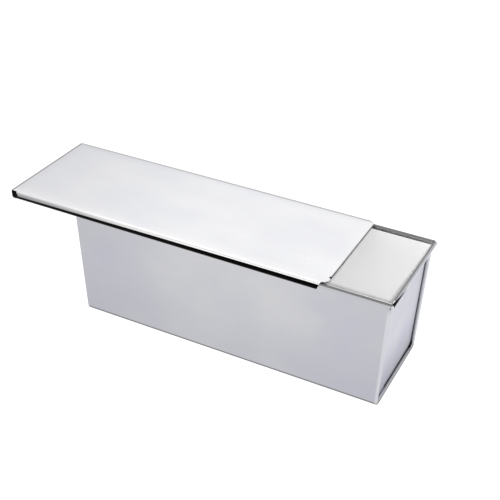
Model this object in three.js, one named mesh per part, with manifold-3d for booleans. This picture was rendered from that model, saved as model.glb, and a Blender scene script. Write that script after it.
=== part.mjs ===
import * as THREE from 'three';
import { mergeVertices } from 'three/addons/utils/BufferGeometryUtils.js';
import Module from 'manifold-3d';

const wasm = await Module();
wasm.setup();

// Pullman loaf pan with a slide-on lid, all folded from thin steel sheet round one rim wire.
// Millimetres, +Z up, +X along the length towards the open end of the mouth, -Y to the front.
// The origin is the centre of the pan's underside.

// Pan
const panHeight = 115; // table to the top of the rim bead
const baseLength = 299.3; // over the seam frames, at the table
const baseWidth = 98; // over the long walls, at the table
const wallDraft = 3.7; // how far every wall leans out over the height of the pan
const sheet = 0.7; // steel of the body
const seamGap = 0.3; // air between two sheets that are folded together
const bottomBend = 6.5; // outer radius between a long wall and the bottom

// Seam frames, where the long sheet is hemmed round the end panels
const hemDepth = 3; // how far an end panel sits in behind its frame
const hemStop = 3.4; // from the underside of the bead down to the top of the hem
const panelFlareDrop = 10; // height over which the middle of an end panel leans out to the bead
const cornerFlareDrop = 3.2; // the same beside the seam frame, where the hem holds the panel back
const flangeRound = 0.5; // outer radius of the bend between a panel and its flange
const flangeRoot = 0.1; // how far the bend stays in behind the panel's inner face

// Wired rim
const wireDiameter = 2;
const wireBend = 2.4; // radius of the wire's centreline at the four corners
const beadCornerGap = 0.2; // the curled sheet stops this far before the wire's bend
const cornerDrop = 0.6; // from the wire down to the sheets' corners, which stay below it
const curlAngle = THREE.MathUtils.degToRad(300); // how far the sheet goes round the wire

// Lid
const lidLength = 321.2; // from the stop flange to the hemmed end
const lidOpen = 65.4; // how far the lid is drawn back from its stop
const lidSheet = 0.7; // steel of the lid
const lidRun = 0.35; // sideways clearance to the bead
const lidLift = 0.3; // clearance between the hem and the top of the bead
const lidSkirt = 8.6; // height of the channels and the stop flange
const lidEdgeBend = 2; // outer radius between the plate and a skirt
const lidRoll = 2.4; // outer radius at the foot of a skirt
const lipClear = 0.8; // from the lip under the bead to the long wall
const lidCorner = 3.2; // outer radius in plan at the two stopped corners
const lidHemFold = 0.2; // air inside the folded hem
const lidHemReturn = 6; // how far the hem goes back under the plate
const lidHemInset = 4; // the hem stops this far from the plate's sides
const channelSetback = 5.4; // the channels stop this far before the hemmed end
const channelSlant = 3.5; // and their feet are cut back this much further
const lipTaper = 5; // length over which the lip runs out before a stopped corner
const stopTurn = THREE.MathUtils.degToRad(30); // how far the stop flange's edge is turned in

// Steps of the round stretches
const bendSteps = 7;
const hemSteps = 8;
const slotSteps = 4;
const curlSteps = 20;
const cornerSteps = 6;
const wireSides = 12;
const flareRows = 7;
const panelColumns = 14;
const foldSteps = 5;

// Worked out from the sizes above
const quarter = Math.PI / 2;
const slope = Math.atan(wallDraft / panHeight);
const hemThickness = 3 * sheet + 2 * seamGap;
const hemRound = hemThickness / 2;
const slotRound = hemRound - sheet;
const flangeNear = sheet + seamGap;
const flangeFar = flangeNear + sheet;
const flangeTip = sheet + 1.5 * seamGap;
const wireRadius = wireDiameter / 2;
const curlInner = wireRadius + seamGap;
const beadRadius = curlInner + sheet;
const beadZ = panHeight - beadRadius;
const sheetTop = beadZ - wireRadius - cornerDrop;
const hemTop = panHeight - 2 * beadRadius - hemStop;

const endFace = (z) => baseLength / 2 + (wallDraft * z) / panHeight;
const sideFace = (z) => baseWidth / 2 + (wallDraft * z) / panHeight;
const wireX = endFace(beadZ) + curlInner;
const wireY = sideFace(beadZ) + curlInner;
const beadHalfX = wireX - wireBend - beadCornerGap;
const beadHalfY = wireY - wireBend - beadCornerGap;

// Materials
const panSteel = new THREE.MeshStandardMaterial({
  color: 0xc6c7cc,
  roughness: 0.42,
  metalness: 0.85,
  flatShading: true,
});
const lidSteel = new THREE.MeshStandardMaterial({
  color: 0xe4e5ea,
  roughness: 0.38,
  metalness: 0.85,
  flatShading: true,
});
const wireSteel = new THREE.MeshStandardMaterial({
  color: 0x9c9da1,
  roughness: 0.3,
  metalness: 1,
  flatShading: true,
});

// Solids

function solidOf(geometry) {
  const bare = geometry.clone();
  bare.deleteAttribute('normal');
  bare.deleteAttribute('uv');
  const merged = mergeVertices(bare);
  const vertProperties = new Float32Array(merged.attributes.position.array);
  const triVerts = new Uint32Array(merged.index.array);
  return new wasm.Manifold(new wasm.Mesh({ numProp: 3, vertProperties, triVerts }));
}

function joined(solids) {
  return solids.reduce((whole, next) => whole.add(next));
}

function piece(name, solid, material) {
  const { vertProperties, triVerts } = solid.getMesh();
  const geometry = new THREE.BufferGeometry();
  geometry.setAttribute('position', new THREE.BufferAttribute(vertProperties, 3));
  geometry.setIndex(new THREE.BufferAttribute(triVerts, 1));
  geometry.computeVertexNormals();
  const mesh = new THREE.Mesh(geometry, material);
  mesh.name = name;
  return mesh;
}

function signedVolume(points, faces) {
  let sum = 0;
  for (const [a, b, c] of faces) {
    sum += points[a].dot(new THREE.Vector3().crossVectors(points[b], points[c]));
  }
  return sum / 6;
}

// A skin over rings of equal count. An open row of rings gets two caps, cut from the outline
// that the rings share, and a closed row joins its last ring to its first. The two halves of a
// ring are split along mirrored diagonals, so that both faces of a sheet bend alike.
function loft(rings, outline) {
  const count = rings[0].length;
  const points = rings.flat();
  const faces = [];
  const spans = outline ? rings.length - 1 : rings.length;
  for (let k = 0; k < spans; k += 1) {
    const low = k * count;
    const high = ((k + 1) % rings.length) * count;
    for (let i = 0; i < count; i += 1) {
      const j = (i + 1) % count;
      const [start, end] = i < count / 2 ? [low + i, high + j] : [low + j, high + i];
      faces.push([low + i, low + j, end]);
      faces.push([start, high + j, high + i]);
    }
  }
  if (outline) {
    const last = (rings.length - 1) * count;
    const turn = THREE.ShapeUtils.isClockWise(outline) ? -1 : 1;
    const cap = capFaces(outline, turn);
    for (const [a, b, c] of cap) {
      faces.push([c, b, a]);
      faces.push([last + a, last + b, last + c]);
    }
  }
  const inside = signedVolume(points, faces) < 0;
  const geometry = new THREE.BufferGeometry().setFromPoints(points);
  geometry.setIndex(faces.flatMap(([a, b, c]) => (inside ? [a, c, b] : [a, b, c])));
  return solidOf(geometry);
}

// The triangles of a cap, wound the way the outline runs
function capFaces(outline, turn) {
  const last = outline.length - 1;
  const points = turn < 0 ? [...outline].reverse() : outline;
  const faces = THREE.ShapeUtils.triangulateShape(points, []);
  return turn < 0 ? faces.map(([a, b, c]) => [last - c, last - b, last - a]) : faces;
}

function arc(centreA, centreB, radius, from, to, steps) {
  return Array.from({ length: steps + 1 }, (_, i) => {
    const angle = from + ((to - from) * i) / steps;
    return [centreA + radius * Math.cos(angle), centreB + radius * Math.sin(angle)];
  });
}

// The path of the long sheet's outer face, from the front wall's top, under the pan and up the
// back wall. Each stop has its place in Y and Z and the direction that points into the pan.

function bendStops() {
  const tangent = bottomBend / Math.tan((quarter + slope) / 2);
  const centreY = -baseWidth / 2 + tangent;
  return Array.from({ length: bendSteps + 1 }, (_, i) => {
    const angle = slope + ((quarter - slope) * i) / bendSteps;
    const inY = Math.cos(angle);
    const inZ = Math.sin(angle);
    return { y: centreY - bottomBend * inY, z: bottomBend * (1 - inZ), inY, inZ };
  });
}

// A stop on the front wall, where the sheet is cut level
function wallStop(z) {
  return { y: -sideFace(z), z, inY: 1 / Math.cos(slope), inZ: 0 };
}

function mirrored({ y, z, inY, inZ }) {
  return { y: -y, z, inY: -inY, inZ };
}

function troughStops(top) {
  const front = [wallStop(top), ...bendStops()];
  return [...front, ...front.map(mirrored).reverse()];
}

// A point of the sheet: how far it lies inside the frame's end face and how deep under the
// outer face, at one stop and one end of the pan
function sheetPoint(stop, end, inset, depth) {
  const z = stop.z + depth * stop.inZ;
  return new THREE.Vector3(end * (endFace(z) - inset), stop.y + depth * stop.inY, z);
}

// Body wrapper

// The hem's section, from the outer face round the fold to the face inside the pan
function hemSection() {
  const lipEnd = hemDepth - seamGap;
  const fold = arc(-hemRound, hemRound, hemRound, -quarter, quarter, hemSteps);
  const slot = arc(-hemRound, hemRound, slotRound, quarter, -quarter, slotSteps);
  const lip = [
    [-lipEnd, hemThickness],
    [-lipEnd, hemThickness - sheet],
  ];
  return [...fold, ...lip, ...slot].map(([x, depth]) => ({ inset: -x, depth }));
}

function trough() {
  const hem = hemSection();
  const section = [
    ...hem.map((point) => ({ ...point, end: 1 })),
    ...hem.map((point) => ({ ...point, end: -1 })).reverse(),
  ];
  const outline = section.map(
    ({ end, inset, depth }) => new THREE.Vector2(end * (baseLength / 2 - inset), depth),
  );
  const rings = troughStops(hemTop).map((stop) =>
    section.map(({ end, inset, depth }) => sheetPoint(stop, end, inset, depth)),
  );
  return loft(rings, outline);
}

// The single sheet of a long wall above the hem, up to its corners below the wire
function upperWall(side) {
  const foot = side < 0 ? wallStop(hemTop) : mirrored(wallStop(hemTop));
  const outer = side * sideFace(sheetTop);
  const inner = side * (sideFace(sheetTop) - sheet);
  const low = [
    sheetPoint(foot, -1, 0, 0),
    sheetPoint(foot, 1, 0, 0),
    sheetPoint(foot, 1, 0, sheet),
    sheetPoint(foot, -1, 0, sheet),
  ];
  const reach = endFace(sheetTop);
  const high = [
    new THREE.Vector3(-reach, outer, sheetTop),
    new THREE.Vector3(reach, outer, sheetTop),
    new THREE.Vector3(reach, inner, sheetTop),
    new THREE.Vector3(-reach, inner, sheetTop),
  ];
  const outline = [
    new THREE.Vector2(-reach, 0),
    new THREE.Vector2(reach, 0),
    new THREE.Vector2(reach, sheet),
    new THREE.Vector2(-reach, sheet),
  ];
  return loft([low, high], outline);
}

// A wall's top edge and its curl round the wire, drawn outward along X and up along Y
function curlShape(face) {
  const centre = face(beadZ) + curlInner;
  const curlEnd = Math.PI - curlAngle;
  const shape = new THREE.Shape();
  shape.moveTo(face(sheetTop) - sheet, sheetTop);
  shape.lineTo(face(sheetTop), sheetTop);
  shape.lineTo(face(beadZ), beadZ);
  shape.absarc(centre, beadZ, curlInner, Math.PI, curlEnd, true);
  shape.absarc(centre, beadZ, beadRadius, curlEnd, Math.PI, false);
  shape.closePath();
  return shape;
}

function curl(face, half, outward) {
  const geometry = new THREE.ExtrudeGeometry(curlShape(face), {
    depth: 2 * half,
    bevelEnabled: false,
    steps: 1,
    curveSegments: curlSteps,
  });
  geometry.translate(0, 0, -half);
  const up = new THREE.Vector3(0, 0, 1);
  const along = new THREE.Vector3().crossVectors(outward, up);
  geometry.applyMatrix4(new THREE.Matrix4().makeBasis(outward, up, along));
  return solidOf(geometry);
}

function bodyWrapper() {
  const parts = [trough()];
  for (const side of [-1, 1]) {
    parts.push(upperWall(side));
    parts.push(curl(sideFace, beadHalfX, new THREE.Vector3(0, side, 0)));
  }
  return joined(parts);
}

// End panels

// Depth of the panel's edge below the outer face of the long sheet, halfway round its bend
const panelEdge = flangeNear + flangeRound / 2;

function panelHalf(z) {
  return sideFace(z) - panelEdge / Math.cos(slope);
}

function easing(t) {
  return t * t * (3 - 2 * t);
}

function easingRate(t) {
  return 6 * t * (1 - t);
}

// One row of the panel across its width. The outer face lies in behind the frame, and from its
// flare line up it leans out to the bead, by a share that grows from none to all.
function panelRow(end, heightAt, halfAt, leanShare) {
  const shares = Array.from({ length: panelColumns + 1 }, (_, i) =>
    Math.sin(quarter * ((2 * i) / panelColumns - 1)),
  );
  const outer = shares.map((share) => {
    const z = heightAt(share);
    const x = endFace(z) - hemDepth * (1 - easing(leanShare));
    return new THREE.Vector3(end * x, share * halfAt(z), z);
  });
  const inner = outer.map((point, i) => {
    const lean = Math.atan((hemDepth * easingRate(leanShare)) / flareDrop(shares[i]));
    const across = new THREE.Vector3(-end * Math.cos(lean), 0, Math.sin(lean));
    return point.clone().addScaledVector(across, sheet);
  });
  return [...outer, ...inner.reverse()];
}

// How far down the lean begins: low in the middle of the panel, just under the bead at its sides
function flareDrop(share) {
  return THREE.MathUtils.lerp(panelFlareDrop, cornerFlareDrop, share * share);
}

function panelPlate(end) {
  const foot = bendStops().reverse().map(({ y, z, inY, inZ }) => {
    const half = -(y + panelEdge * inY);
    const height = z + panelEdge * inZ;
    return panelRow(end, () => height, () => half, 0);
  });
  const top = Array.from({ length: flareRows + 1 }, (_, i) => {
    const leanShare = i / flareRows;
    const heightAt = (share) => sheetTop - flareDrop(share) * (1 - leanShare);
    return panelRow(end, heightAt, panelHalf, leanShare);
  });
  const rows = [...foot, ...top];
  const outline = rows.at(-1).map(({ x, y }) => new THREE.Vector2(x, y));
  return loft(rows, outline);
}

// The flange that the hem grips, along both sides and the foot of the panel
function panelFlange(end) {
  const root = hemDepth + sheet - flangeRoot;
  const centre = [root - flangeRound, flangeNear + flangeRound];
  const section = [
    [flangeTip, flangeNear],
    [flangeTip, flangeFar],
    [root, flangeFar],
    ...arc(...centre, flangeRound, 0, -quarter, slotSteps),
  ];
  const outline = section.map(([inset, depth]) => new THREE.Vector2(inset, depth));
  const rings = troughStops(hemTop - seamGap).map((stop) =>
    section.map(([inset, depth]) => sheetPoint(stop, end, inset, depth)),
  );
  return loft(rings, outline);
}

function endPanel(end) {
  const outward = new THREE.Vector3(end, 0, 0);
  return joined([panelPlate(end), panelFlange(end), curl(endFace, beadHalfY, outward)]);
}

// Rim wire

function rimWire() {
  const cornerX = wireX - wireBend;
  const cornerY = wireY - wireBend;
  const corners = [
    [cornerX, cornerY],
    [-cornerX, cornerY],
    [-cornerX, -cornerY],
    [cornerX, -cornerY],
  ];
  const rings = corners.flatMap(([x, y], i) =>
    Array.from({ length: cornerSteps + 1 }, (_, k) => {
      const angle = quarter * (i + k / cornerSteps);
      return wireRing(x, y, angle);
    }),
  );
  return loft(rings, null);
}

function wireRing(x, y, angle) {
  return Array.from({ length: wireSides }, (_, s) => {
    const round = (2 * Math.PI * s) / wireSides;
    const reach = wireBend + wireRadius * Math.cos(round);
    return new THREE.Vector3(
      x + reach * Math.cos(angle),
      y + reach * Math.sin(angle),
      beadZ + wireRadius * Math.sin(round),
    );
  });
}

// Lid

const lidHemThickness = 2 * lidSheet + lidHemFold;
const lidTop = panHeight + lidLift + lidHemThickness;
const lidHalf = wireY + beadRadius + lidRun + lidSheet;
const lidLeft = -(wireX + beadRadius) - lidLift - lidSheet - lidOpen;
const lidRight = lidLeft + lidLength;
const plateHalf = lidHalf - lidEdgeBend;
const plateRight = lidRight - lidHemThickness / 2;
const channelRight = lidRight - channelSetback;
const lipReach = lidHalf - sideFace(lidTop - lidSkirt) - lipClear;

// The section of a lid's edge: depth in from the outer face, and height from the lid's top.
// At full share the foot rolls in under the bead as a lip; at none it is the stop flange's
// edge, only turned in a little.
function edgeSection(lipShare) {
  const turn = THREE.MathUtils.lerp(stopTurn, quarter, lipShare);
  const stopLip = (lidRoll * (1 - Math.sin(stopTurn))) / Math.cos(stopTurn);
  const lip = THREE.MathUtils.lerp(stopLip, lipReach - lidRoll, lipShare);
  const foot = lidRoll - lidSkirt;
  const bendInner = lidEdgeBend - lidSheet;
  const rollInner = lidRoll - lidSheet;
  const half = Math.PI;
  const outerBend = arc(lidEdgeBend, -lidEdgeBend, lidEdgeBend, quarter, half, foldSteps);
  const outerRoll = arc(lidRoll, foot, lidRoll, half, half + turn, foldSteps);
  const innerRoll = arc(lidRoll, foot, rollInner, half + turn, half, foldSteps);
  const innerBend = arc(lidEdgeBend, -lidEdgeBend, bendInner, half, quarter, foldSteps);
  const along = [lip * Math.sin(turn), -lip * Math.cos(turn)];
  const tips = [outerRoll.at(-1), innerRoll[0]].map(([a, b]) => [a + along[0], b + along[1]]);
  return [...outerBend, ...outerRoll, ...tips, ...innerRoll, ...innerBend];
}

// The stops of the lid's outer face in plan, from the front channel's open end round the stop
// flange to the back channel's open end
function lidStops() {
  const cornerX = lidLeft + lidCorner;
  const cornerY = lidHalf - lidCorner;
  const front = [
    { x: channelRight, y: -lidHalf, inX: 0, inY: 1, lip: 1, slant: 1 },
    { x: channelRight - channelSlant, y: -lidHalf, inX: 0, inY: 1, lip: 1, slant: 0 },
    { x: cornerX + lipTaper, y: -lidHalf, inX: 0, inY: 1, lip: 1, slant: 0 },
  ];
  for (let i = 0; i <= cornerSteps; i += 1) {
    const angle = (quarter * i) / cornerSteps;
    const inX = Math.sin(angle);
    const inY = Math.cos(angle);
    const x = cornerX - lidCorner * inX;
    const y = -cornerY - lidCorner * inY;
    front.push({ x, y, inX, inY, lip: 0, slant: 0 });
  }
  const back = front.map((stop) => ({ ...stop, y: -stop.y, inY: -stop.inY })).reverse();
  return [...front, ...back];
}

function lidEdge() {
  const stops = lidStops();
  const outline = edgeSection(1).map(([depth, height]) => new THREE.Vector2(depth, height));
  const rings = stops.map(({ x, y, inX, inY, lip, slant }) =>
    edgeSection(lip).map(([depth, height]) => {
      const cut = (slant * channelSlant * height) / lidSkirt;
      return new THREE.Vector3(x + depth * inX + cut, y + depth * inY, lidTop + height);
    }),
  );
  return loft(rings, outline);
}

// The flat plate, which meets the edges along the inner side of their bends
function lidPlate() {
  const stops = lidStops().filter(({ slant }) => slant === 0);
  const points = stops.map(
    ({ x, y, inX, inY }) => new THREE.Vector2(x + lidEdgeBend * inX, y + lidEdgeBend * inY),
  );
  const corner = lidHemInset;
  const cornerX = plateRight - corner;
  const cornerY = plateHalf - corner;
  const rightBack = arc(cornerX, cornerY, corner, quarter, 0, cornerSteps);
  const rightFront = arc(cornerX, -cornerY, corner, 0, -quarter, cornerSteps);
  const right = [...rightBack, ...rightFront].map(([x, y]) => new THREE.Vector2(x, y));
  const front = new THREE.Vector2(channelRight, -plateHalf);
  const back = new THREE.Vector2(channelRight, plateHalf);
  const outline = [front, ...points, back, ...right];
  const level = (z) => outline.map(({ x, y }) => new THREE.Vector3(x, y, z));
  return loft([level(lidTop - lidSheet), level(lidTop)], outline);
}

// The hem folded back under the plate's open end
function lidHem() {
  const round = lidHemThickness / 2;
  const start = lidRight - lidHemReturn;
  const middle = lidTop - round;
  const fold = arc(plateRight, middle, round, quarter, -quarter, hemSteps);
  const inner = arc(plateRight, middle, round - lidSheet, -quarter, quarter, slotSteps);
  const foot = lidTop - lidHemThickness;
  const shape = new THREE.Shape(
    [
      [start, lidTop],
      ...fold,
      [start, foot],
      [start, foot + lidSheet],
      ...inner,
      [start, lidTop - lidSheet],
    ].map(([x, z]) => new THREE.Vector2(x, z)),
  );
  const half = plateHalf - lidHemInset;
  const geometry = new THREE.ExtrudeGeometry(shape, {
    depth: 2 * half,
    bevelEnabled: false,
    steps: 1,
  });
  geometry.rotateX(quarter);
  geometry.translate(0, half, 0);
  return solidOf(geometry);
}

// The whole pan

const pan = new THREE.Group();
pan.name = 'pullman_loaf_pan';
pan.add(piece('body_wrapper', bodyWrapper(), panSteel));
pan.add(piece('right_end_panel', endPanel(1), panSteel));
pan.add(piece('left_end_panel', endPanel(-1), panSteel));
pan.add(piece('rim_wire', rimWire(), wireSteel));

const lid = new THREE.Group();
lid.name = 'lid_group';
lid.add(piece('lid', joined([lidEdge(), lidPlate(), lidHem()]), lidSteel));
pan.add(lid);

export default pan;
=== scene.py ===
# %% [markdown]
# A pullman pan bakes a square loaf. It is folded from thin steel sheet round one rim wire, and a
# flat lid slides along the rim. Each piece already exists as a plain solid at its real size. This
# lesson models every sheet again with soft bends, rolled beads and slightly uneven walls, and
# gives it the satin steel of the real one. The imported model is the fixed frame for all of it.

# %% Load the frame
import math

import bmesh
import bpy
from mathutils import Matrix, Vector, noise

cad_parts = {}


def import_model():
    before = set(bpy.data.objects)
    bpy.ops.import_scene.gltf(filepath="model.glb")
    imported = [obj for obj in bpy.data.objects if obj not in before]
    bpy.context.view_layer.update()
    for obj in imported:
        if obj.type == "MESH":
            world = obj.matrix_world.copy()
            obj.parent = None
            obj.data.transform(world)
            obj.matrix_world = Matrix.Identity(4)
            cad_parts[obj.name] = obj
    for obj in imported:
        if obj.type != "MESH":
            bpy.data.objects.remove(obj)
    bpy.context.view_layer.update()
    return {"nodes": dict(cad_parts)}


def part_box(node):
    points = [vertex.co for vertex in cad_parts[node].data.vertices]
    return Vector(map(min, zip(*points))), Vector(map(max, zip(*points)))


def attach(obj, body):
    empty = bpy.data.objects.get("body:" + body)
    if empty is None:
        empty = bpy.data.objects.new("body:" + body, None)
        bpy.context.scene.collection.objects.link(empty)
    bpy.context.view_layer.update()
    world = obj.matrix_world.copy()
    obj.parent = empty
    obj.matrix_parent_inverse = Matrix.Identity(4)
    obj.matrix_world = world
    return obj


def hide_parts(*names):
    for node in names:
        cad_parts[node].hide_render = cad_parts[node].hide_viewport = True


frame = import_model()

print("nodes:", sorted(frame["nodes"]))

# %% [markdown]
# The sheets are only 0.7 mm thick, so every place on them comes from a few real sizes. They are
# the sizes that the solids were built from, in metres. The walls lean out a little towards the
# rim, which lets the loaf slide out.

# %% Sizes of the pan
MM = 0.001
QUARTER = math.pi / 2
pan_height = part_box("body_wrapper")[1].z
base_length = 299.3 * MM
base_width = 98 * MM
wall_draft = 3.7 * MM
sheet = 0.7 * MM
seam_gap = 0.3 * MM
bottom_bend = 6.5 * MM
slope = math.atan(wall_draft / pan_height)

wire_radius = 1 * MM
wire_bend = 2.4 * MM
curl_inner = wire_radius + seam_gap
bead_radius = curl_inner + sheet
curl_angle = math.radians(300)
bead_z = pan_height - bead_radius
curl_root = 1.6 * MM
sheet_top = bead_z - curl_root

hem_depth = 3 * MM
hem_thickness = 3 * sheet + 2 * seam_gap
hem_round = hem_thickness / 2
hem_stop = 3.4 * MM
hem_top = pan_height - 2 * bead_radius - hem_stop
flange_near = sheet + seam_gap


def end_x(z):
    """How far the seam frames reach along X at a height."""
    return base_length / 2 + wall_draft * z / pan_height


def wall_y(z):
    """How far the outer face of a long wall lies from the middle at a height."""
    return base_width / 2 + wall_draft * z / pan_height


wire_x = end_x(bead_z) + curl_inner
wire_y = wall_y(bead_z) + curl_inner
bead_end_gap = 0.2 * MM
bead_half_y = wire_y - wire_bend - bead_end_gap
print("rim over the beads:", round(2 * (wire_x + bead_radius), 4), round(2 * (wire_y + bead_radius), 4))

# %% [markdown]
# The camera comes first, because every later choice is checked through it. Its place was found by
# matching the straight edges of the pan in the photograph: a short telephoto view from the front
# right, about a third of the way up to straight above, with the camera rolled a little.

# %% Camera
view_azimuth = math.radians(26.42)
view_elevation = math.radians(32.68)
view_roll = 0.025
view_distance = 901.2 * MM
view_target = Vector((0.2, 0, 87.7)) * MM
focal_share = 1.986
sensor_width = 36

toward_camera = Vector(
    (
        math.sin(view_azimuth) * math.cos(view_elevation),
        -math.cos(view_azimuth) * math.cos(view_elevation),
        math.sin(view_elevation),
    )
)
camera_data = bpy.data.cameras.new("camera")
camera_data.sensor_width = sensor_width
camera_data.lens = sensor_width * focal_share
camera = bpy.data.objects.new("camera", camera_data)
bpy.context.scene.collection.objects.link(camera)
upright = toward_camera.to_track_quat("Z", "Y").to_matrix()
camera.matrix_world = (
    Matrix.Translation(view_target + view_distance * toward_camera)
    @ (upright @ Matrix.Rotation(view_roll, 3, "Z")).to_4x4()
)
bpy.context.scene.camera = camera
bpy.context.scene.view_settings.view_transform = "Standard"
print("camera at", [round(c, 4) for c in camera.matrix_world.translation])

# %% [markdown]
# The studio and the steels are drawn with shader nodes. A few helpers keep them short: one adds a
# node and wires it, one works out a number, one makes a soft step and one mixes two colours.

# %% Helpers for shader nodes


def add_node(tree, kind, sockets=None, **options):
    """Adds a node, sets its options, and sets or wires its inputs."""
    item = tree.nodes.new(kind)
    for name, value in options.items():
        setattr(item, name, value)
    for socket, value in (sockets or {}).items():
        if isinstance(value, bpy.types.NodeSocket):
            tree.links.new(value, item.inputs[socket])
        else:
            item.inputs[socket].default_value = value
    return item


def work_out(tree, operation, *values):
    """A sum or other calculation with numbers or sockets."""
    sockets = dict(enumerate(values))
    return add_node(tree, "ShaderNodeMath", sockets, operation=operation).outputs["Value"]


def ramp(tree, value, low, high, start=0.0, end=1.0):
    """Goes softly from start to end while a value goes from low to high."""
    sockets = {"Value": value, "From Min": low, "From Max": high, "To Min": start, "To Max": end}
    item = add_node(tree, "ShaderNodeMapRange", sockets, interpolation_type="SMOOTHSTEP")
    return item.outputs["Result"]


def blend(tree, factor, first, second):
    """Mixes two colours."""
    sockets = {0: factor, 6: first, 7: second}
    return add_node(tree, "ShaderNodeMix", sockets, data_type="RGBA").outputs[2]


# %% [markdown]
# Polished sheet shows nothing but its surroundings, so the studio is part of the finish. The floor
# is a pale sweep that glows a little, which keeps the shadow under the pan faint, and the walls
# of the studio fade from a bright band high up to a soft grey at the horizon. A small softbox by the
# camera lights the inside through the open end without a shadow. It is turned off for reflections,
# as a photographer shades a lamp, so that it draws no hard patch on the steel.

# %% Floor, studio walls and lights
floor_size = 6
floor_grey = 0.12
seen_glow = 1.0
mirrored_glow = 0.85
floor_mesh = bmesh.new()
bmesh.ops.create_grid(floor_mesh, x_segments=1, y_segments=1, size=floor_size / 2)
floor_data = bpy.data.meshes.new("floor")
floor_mesh.to_mesh(floor_data)
floor_mesh.free()
floor = bpy.data.objects.new("floor", floor_data)
bpy.context.scene.collection.objects.link(floor)
floor_paint = bpy.data.materials.new("floor_paint")
floor_paint.use_nodes = True
floor_shader = floor_paint.node_tree.nodes["Principled BSDF"]
floor_shader.inputs["Base Color"].default_value = (floor_grey, floor_grey, floor_grey, 1)
floor_shader.inputs["Roughness"].default_value = 1
floor_shader.inputs["Specular IOR Level"].default_value = 0
floor_shader.inputs["Emission Color"].default_value = (1, 1, 1, 1)
floor_view = add_node(floor_paint.node_tree, "ShaderNodeLightPath").outputs["Is Camera Ray"]
floor_glow = ramp(floor_paint.node_tree, floor_view, 0, 1, mirrored_glow, seen_glow)
floor_paint.node_tree.links.new(floor_glow, floor_shader.inputs["Emission Strength"])
floor.data.materials.append(floor_paint)

studio = bpy.data.worlds.new("studio")
bpy.context.scene.world = studio
studio.use_nodes = True
sky = studio.node_tree
horizon_height = 0.06
upper_height = 0.62
horizon_light = 0.34
upper_light = 1.12
zenith_light = 0.95
view_ray = add_node(sky, "ShaderNodeLightPath").outputs["Is Camera Ray"]
direction = add_node(sky, "ShaderNodeTexCoord").outputs["Generated"]
height = add_node(sky, "ShaderNodeSeparateXYZ", {"Vector": direction}).outputs["Z"]
low_sky = ramp(sky, height, horizon_height, upper_height, horizon_light, upper_light)
high_sky = ramp(sky, height, upper_height, 1.0, 0.0, zenith_light - upper_light)
glow = work_out(sky, "ADD", low_sky, high_sky)
shown = work_out(sky, "MAXIMUM", glow, view_ray)
background = sky.nodes["Background"]
sky.links.new(shown, background.inputs["Strength"])
background.inputs["Color"].default_value = (1, 1, 1, 1)

lamp_distance = 0.95
lamp_size = 0.04
lamp_power = 11.8
lamp_data = bpy.data.lights.new("softbox", "AREA")
lamp_data.shape = "SQUARE"
lamp_data.size = lamp_size
lamp_data.energy = lamp_power
softbox = bpy.data.objects.new("softbox", lamp_data)
bpy.context.scene.collection.objects.link(softbox)
softbox.matrix_world = Matrix.Translation(view_target + lamp_distance * toward_camera) @ upright.to_4x4()
softbox.visible_glossy = False
print("floor", floor_size, "m wide, softbox", lamp_size, "m wide")

# %% [markdown]
# Every sheet is modelled as a skin without thickness: a few vertices are extruded, bent, spun and
# cut, as a sheet is on a folding machine. The thickness comes last, from a Solidify modifier that
# grows away from the skin's front, and a small Bevel takes the sharpness off the cut edges. These
# helpers finish any such skin.

# %% Helpers for skins of sheet steel
TINY = 0.01 * MM
edge_round = 0.12 * MM
edge_angle = math.radians(50)


def verts_in(made):
    return [item for item in made["geom"] if isinstance(item, bmesh.types.BMVert)]


def once_each(items):
    """The items without repeats, always in the order in which they first came."""
    return list(dict.fromkeys(items))


def edges_of(bm, test):
    """The edges whose two ends both pass a test on their place."""
    return [edge for edge in bm.edges if all(test(vert.co) for vert in edge.verts)]


def rim_edges(bm, test):
    """The open edges whose two ends both pass a test on their place."""
    return [edge for edge in edges_of(bm, test) if edge.is_boundary]


def cut(bm, axis, places):
    """Cuts a skin along planes square to one axis."""
    for place in places:
        normal = Vector((0, 0, 0))
        normal[axis] = 1
        geometry = bm.verts[:] + bm.edges[:] + bm.faces[:]
        bmesh.ops.bisect_plane(bm, geom=geometry, dist=TINY, plane_co=normal * place, plane_no=normal)


def steps_between(low, high, pitch):
    """Evenly spaced places inside a stretch, about one pitch apart."""
    count = max(1, round((high - low) / pitch))
    return [low + (high - low) * i / count for i in range(1, count)]


def face_front(bm, probe, front):
    """Turns all faces one way, so that the face nearest to the probe looks along front."""
    bmesh.ops.recalc_face_normals(bm, faces=bm.faces[:])
    nearest = min(bm.faces, key=lambda face: (face.calc_center_median() - Vector(probe)).length)
    if nearest.normal.dot(Vector(front)) < 0:
        bmesh.ops.reverse_faces(bm, faces=bm.faces[:])


def sheet_piece(name, bm, materials, body, node):
    """Makes an object from a skin, gives it its thickness and lets it stand for a CAD node."""
    data = bpy.data.meshes.new(name)
    for face in bm.faces:
        face.smooth = True
    bm.to_mesh(data)
    bm.free()
    piece = bpy.data.objects.new(name, data)
    bpy.context.scene.collection.objects.link(piece)
    for material in materials:
        data.materials.append(material)
    wall = piece.modifiers.new("thickness", "SOLIDIFY")
    wall.thickness = sheet
    wall.offset = -1
    wall.use_even_offset = True
    wall.material_offset = 1
    wall.material_offset_rim = 0
    rounding = piece.modifiers.new("cut edges", "BEVEL")
    rounding.width = edge_round
    rounding.segments = 2
    rounding.limit_method = "ANGLE"
    rounding.angle_limit = edge_angle
    rounding.harden_normals = True
    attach(piece, body)
    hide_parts(node)
    print(name, "skin faces:", len(data.polygons))
    return piece


# %% [markdown]
# Flat steel sheet is never quite flat. Folding and spot heat leave shallow waves that only show in
# what the sheet reflects. Slow noise moves each wall by a few tenths of a millimetre, and fades
# out near the folds, which hold the sheet straight.

# %% Shallow waves in the sheets
wave_height = 0.3 * MM
wave_length = 70 * MM
wave_fade = 22 * MM


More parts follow.
